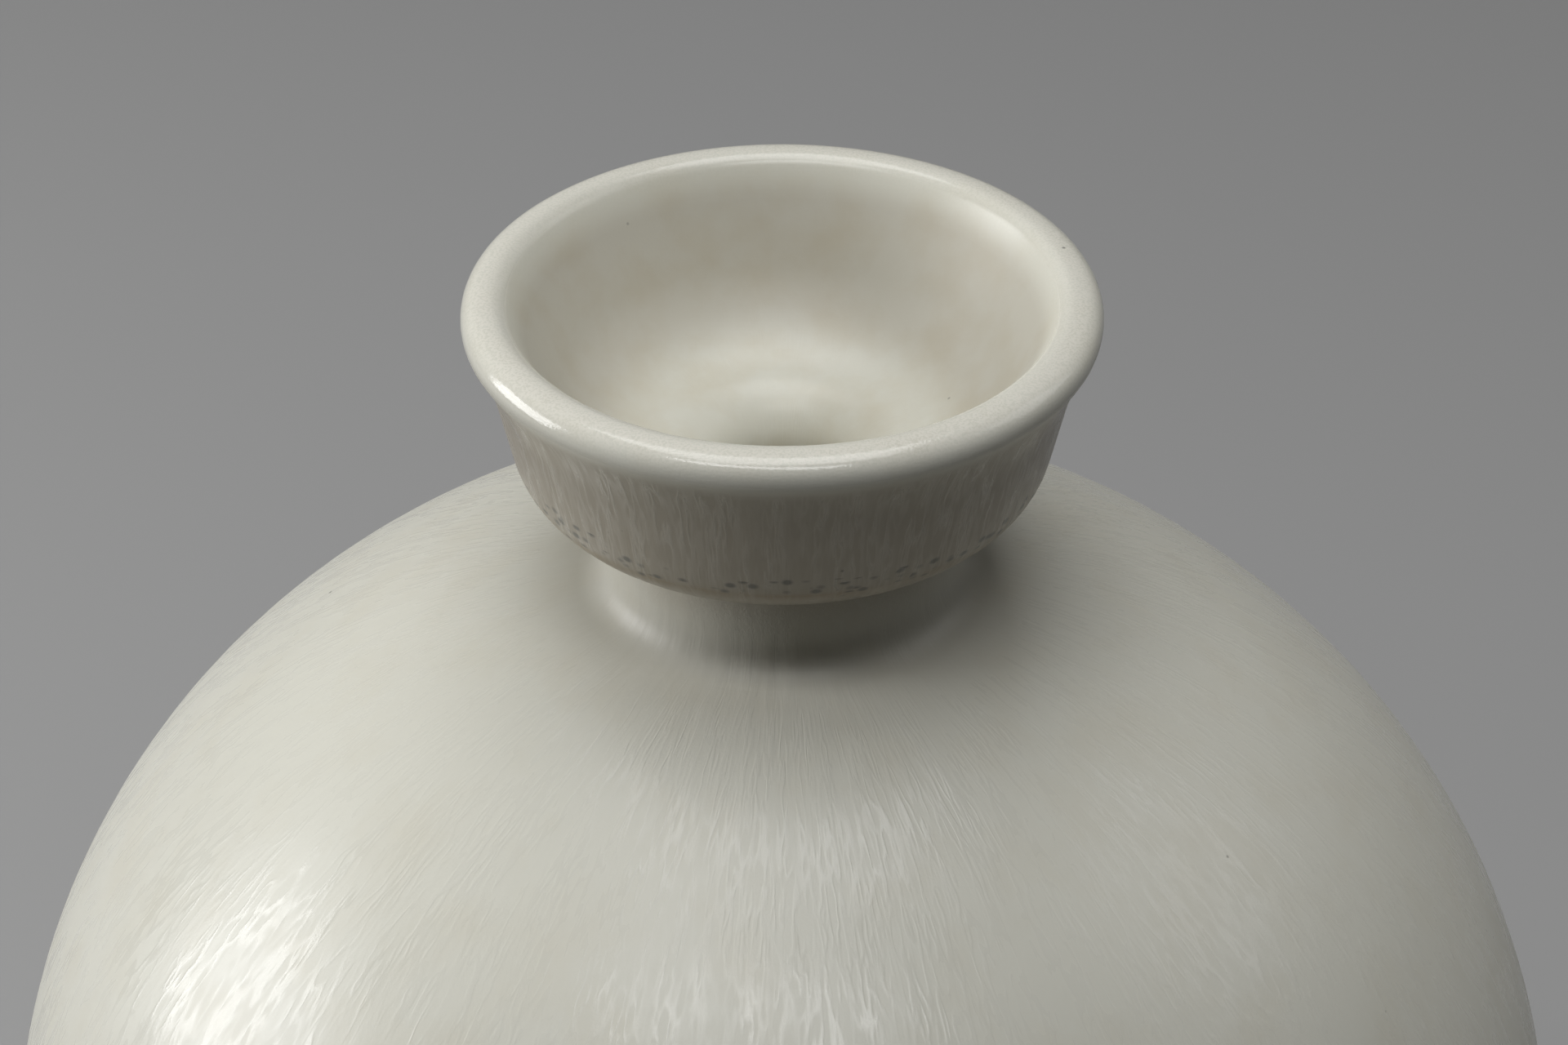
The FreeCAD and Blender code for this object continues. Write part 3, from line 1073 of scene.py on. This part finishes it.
    def ripple(self, piece: bpy.types.Object, run: Run, rows: np.ndarray, shown: int) -> None:
        """Moves the face in and out by the relief of the fired coat.

        Args:
            piece: The spun coat.
            run: Distances along its section.
            rows: The section's point that each vertex comes from.
            shown: How many of the section's points are on the face that shows.
        """
        mesh = piece.data
        spots = triples(mesh.vertices, "co")
        facings = triples(mesh.vertices, "normal")
        turns = np.arctan2(spots[:, 1], spots[:, 0])
        cup = (run.lengths > run.at[Mark.NECK_FOOT]) & (run.lengths < run.at[Mark.LIP_UNDER])
        ridge = np.where(cup, self.cup_ridge, self.body_ridge) * run.rise(self.fades.ridges_in)
        ridge = ridge * (1 - run.rise(self.fades.streaks_out))
        wobble = np.full(len(run.lengths), self.wobble_height)
        still = shown - self.still_points
        for height in (ridge, wobble):
            height[still:] = 0
            height[0] = 0
        moves = np.zeros(len(spots))
        for index in np.flatnonzero(rows < still):
            row = rows[index]
            around = Vector((math.cos(turns[index]), math.sin(turns[index]), 0))
            for height, bumps_round, length in (
                (ridge, self.ridge_round, self.ridge_length),
                (wobble, self.wobble_round, self.wobble_length),
            ):
                if height[row]:
                    spot = around * bumps_round + Vector((0, 0, run.lengths[row] / length))
                    moves[index] += height[row] * noise.noise(spot)
        spots += facings * moves[:, None]
        mesh.vertices.foreach_set("co", spots.reshape(-1))
        mesh.update()


def spin_outline(name: str, outline: Outline, steps: int) -> bpy.types.Object:
    """Draws a closed section vertex by vertex and spins it about the axis.

    Args:
        name: The new piece's name.
        outline: The section.
        steps: Number of steps round the axis.

    Returns:
        The new piece, selected and active.
    """
    deselect_all()
    bpy.ops.mesh.primitive_plane_add(size=MM, location=(0, 0, 0))
    piece = bpy.context.object
    piece.name = name
    piece.data.name = name
    bpy.ops.object.mode_set(mode="EDIT")
    bpy.ops.mesh.select_all(action="SELECT")
    bpy.ops.mesh.merge(type="CENTER")
    bpy.ops.transform.translate(value=outline.points[0])
    for before, after in zip(outline.points, outline.points[1:] + outline.points[:1]):
        bpy.ops.mesh.extrude_vertices_move(TRANSFORM_OT_translate={"value": after - before})
    bpy.ops.mesh.select_all(action="SELECT")
    bpy.ops.mesh.remove_doubles(threshold=WELD_GAP)
    bpy.ops.mesh.spin(steps=steps, angle=math.tau, center=(0, 0, 0), axis=(0, 0, 1))
    bpy.ops.mesh.select_all(action="SELECT")
    bpy.ops.mesh.remove_doubles(threshold=WELD_GAP)
    bpy.ops.mesh.normals_make_consistent(inside=False)
    bpy.ops.object.mode_set(mode="OBJECT")
    return piece


def match_rows(piece: bpy.types.Object, outline: Outline) -> np.ndarray:
    """Finds the point of the section that each vertex of a spun piece comes from.

    Args:
        piece: The spun piece.
        outline: Its section.

    Returns:
        The point's number for each vertex.
    """
    tree = KDTree(len(outline.points))
    for index, spot in enumerate(outline.points):
        tree.insert(spot, index)
    tree.balance()
    spots = triples(piece.data.vertices, "co")
    across = np.hypot(spots[:, 0], spots[:, 1])
    return np.array([tree.find((r, 0, z))[1] for r, z in zip(across, spots[:, 2])])


@dataclass(frozen=True)
class SoftBox:
    """One soft lamp that faces the neck.

    Attributes:
        turn_deg: Its bearing: 0 is the camera's side, and 90 is on the camera's right.
        height_deg: How far it stands above the neck's level.
        size: Its width and height.
        power: Its power in watts.
        distance: How far it is from the neck.
    """

    name: str
    turn_deg: float
    height_deg: float
    size: tuple[float, float]
    power: float
    distance: float = 1.0

    def build(self, aim: Vector) -> None:
        """Adds the lamp.

        Args:
            aim: The place that it faces.
        """
        turn, height = math.radians(self.turn_deg), math.radians(self.height_deg)
        level = math.cos(height)
        way = Vector((math.sin(turn) * level, -math.cos(turn) * level, math.sin(height)))
        bpy.ops.object.light_add(type="AREA", location=aim + way * self.distance)
        lamp = bpy.context.object
        lamp.name = self.name
        lamp.data.shape = "RECTANGLE"
        lamp.data.size, lamp.data.size_y = self.size
        lamp.data.energy = self.power
        lamp.rotation_euler = (-way).to_track_quat("-Z", "Y").to_euler()


@dataclass
class Studio:
    """A pale floor, soft lamps and the camera of the photograph.

    Attributes:
        camera_pitch_deg: How far the camera looks down.
        aim: The place on the neck that the lamps face.
        floor_tint: The floor's colour to the camera and in mirrored light.
        floor_bounce: The colour that it throws back on the vase.
        backdrop: The grey beyond the floor, which only the camera sees and which lights nothing.
        lamps: The soft boxes, with bearings, heights and powers that match the photograph.
    """

    camera_place: tuple[float, float, float] = (0.0002, -0.4072, 0.4518)
    camera_pitch_deg: float = 33.74
    lens: float = 100.0
    sensor: float = 36.0
    clip_start: float = 10 * MM
    aim: tuple[float, float, float] = (0.0, 0.0, 0.17)
    floor_size: float = 6.0
    floor_tint: str = "A8A8A8"
    floor_bounce: str = "7C7C7C"
    floor_roughness: float = 0.9
    backdrop: str = "7C7C7C"
    lamps: tuple[SoftBox, ...] = (
        SoftBox("overhead_box", 193, 82, (0.7, 0.7), 4.7),
        SoftBox("front_box", 349, 63, (0.75, 0.2), 2.6),
        SoftBox("key_box", 264, 12.5, (0.55, 0.5), 6.3),
        SoftBox("right_box", 103, 36, (0.5, 0.5), 0.8),
    )

    def add_camera(self) -> None:
        """Adds the camera at the photograph's place, angle and lens."""
        tilt = math.radians(QUARTER - self.camera_pitch_deg)
        bpy.ops.object.camera_add(location=self.camera_place, rotation=(tilt, 0, 0))
        camera = bpy.context.object
        camera.data.lens = self.lens
        camera.data.sensor_width = self.sensor
        camera.data.clip_start = self.clip_start
        bpy.context.scene.camera = camera

    def add_floor(self) -> None:
        """Adds the floor that the vase stands on."""
        deselect_all()
        bpy.ops.mesh.primitive_plane_add(size=self.floor_size, location=(0, 0, 0))
        floor = bpy.context.object
        floor.name = "floor"
        material, tree = new_material("pale_paper")
        rays = add_node(tree, "LightPath").outputs
        seen = rays["Is Camera Ray"]
        for ray in ("Is Glossy Ray", "Is Transmission Ray"):
            seen = calculate(tree, "MAXIMUM", seen, rays[ray])
        tint = mix(tree, seen, colour(self.floor_bounce), colour(self.floor_tint))
        add_surface(tree, {"Base Color": tint, "Roughness": self.floor_roughness})
        floor.data.materials.append(material)

    def add_backdrop(self) -> None:
        """Adds the grey beyond the floor."""
        world = bpy.data.worlds.new("studio")
        bpy.context.scene.world = world
        world.use_nodes = True
        tree = world.node_tree
        seen = add_node(tree, "LightPath").outputs["Is Camera Ray"]
        tint = mix(tree, seen, BLACK, colour(self.backdrop))
        tree.links.new(tint, tree.nodes["Background"].inputs["Color"])

    def build(self) -> None:
        """Sets the whole studio."""
        deselect_all()
        self.add_camera()
        self.add_floor()
        for lamp in self.lamps:
            lamp.build(Vector(self.aim))
        self.add_backdrop()
        bpy.context.scene.view_settings.view_transform = "Standard"
        log.info("studio set")


def dress_nodes() -> None:
    """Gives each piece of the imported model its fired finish."""
    clay = FiredClay().make()
    slip = FiredClay(
        name="fired_slip", clay="A89680", toasted="94795F", turning_height=0.01 * MM
    ).make()
    liner = PlainGlaze().make()
    for finish, names in (
        (clay, ("lower_bowl", "upper_bowl", "neck_collar", "cup_mouth")),
        (slip, ("waist_slip_joint", "neck_slip_joint", "cup_slip_joint")),
        (liner, ("liner_glaze",)),
    ):
        for name in names:
            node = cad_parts[name]
            node.data.materials.clear()
            node.data.materials.append(finish)
            log.info("%s: %s", name, finish.name)


def main() -> None:
    """Builds the scene."""
    logging.basicConfig(level=logging.INFO, format="%(name)s: %(message)s")
    Studio().build()
    dress_nodes()
    GlazeCoat().build(RunningGlaze().make())
    deselect_all()


if __name__ == "__main__":
    main()
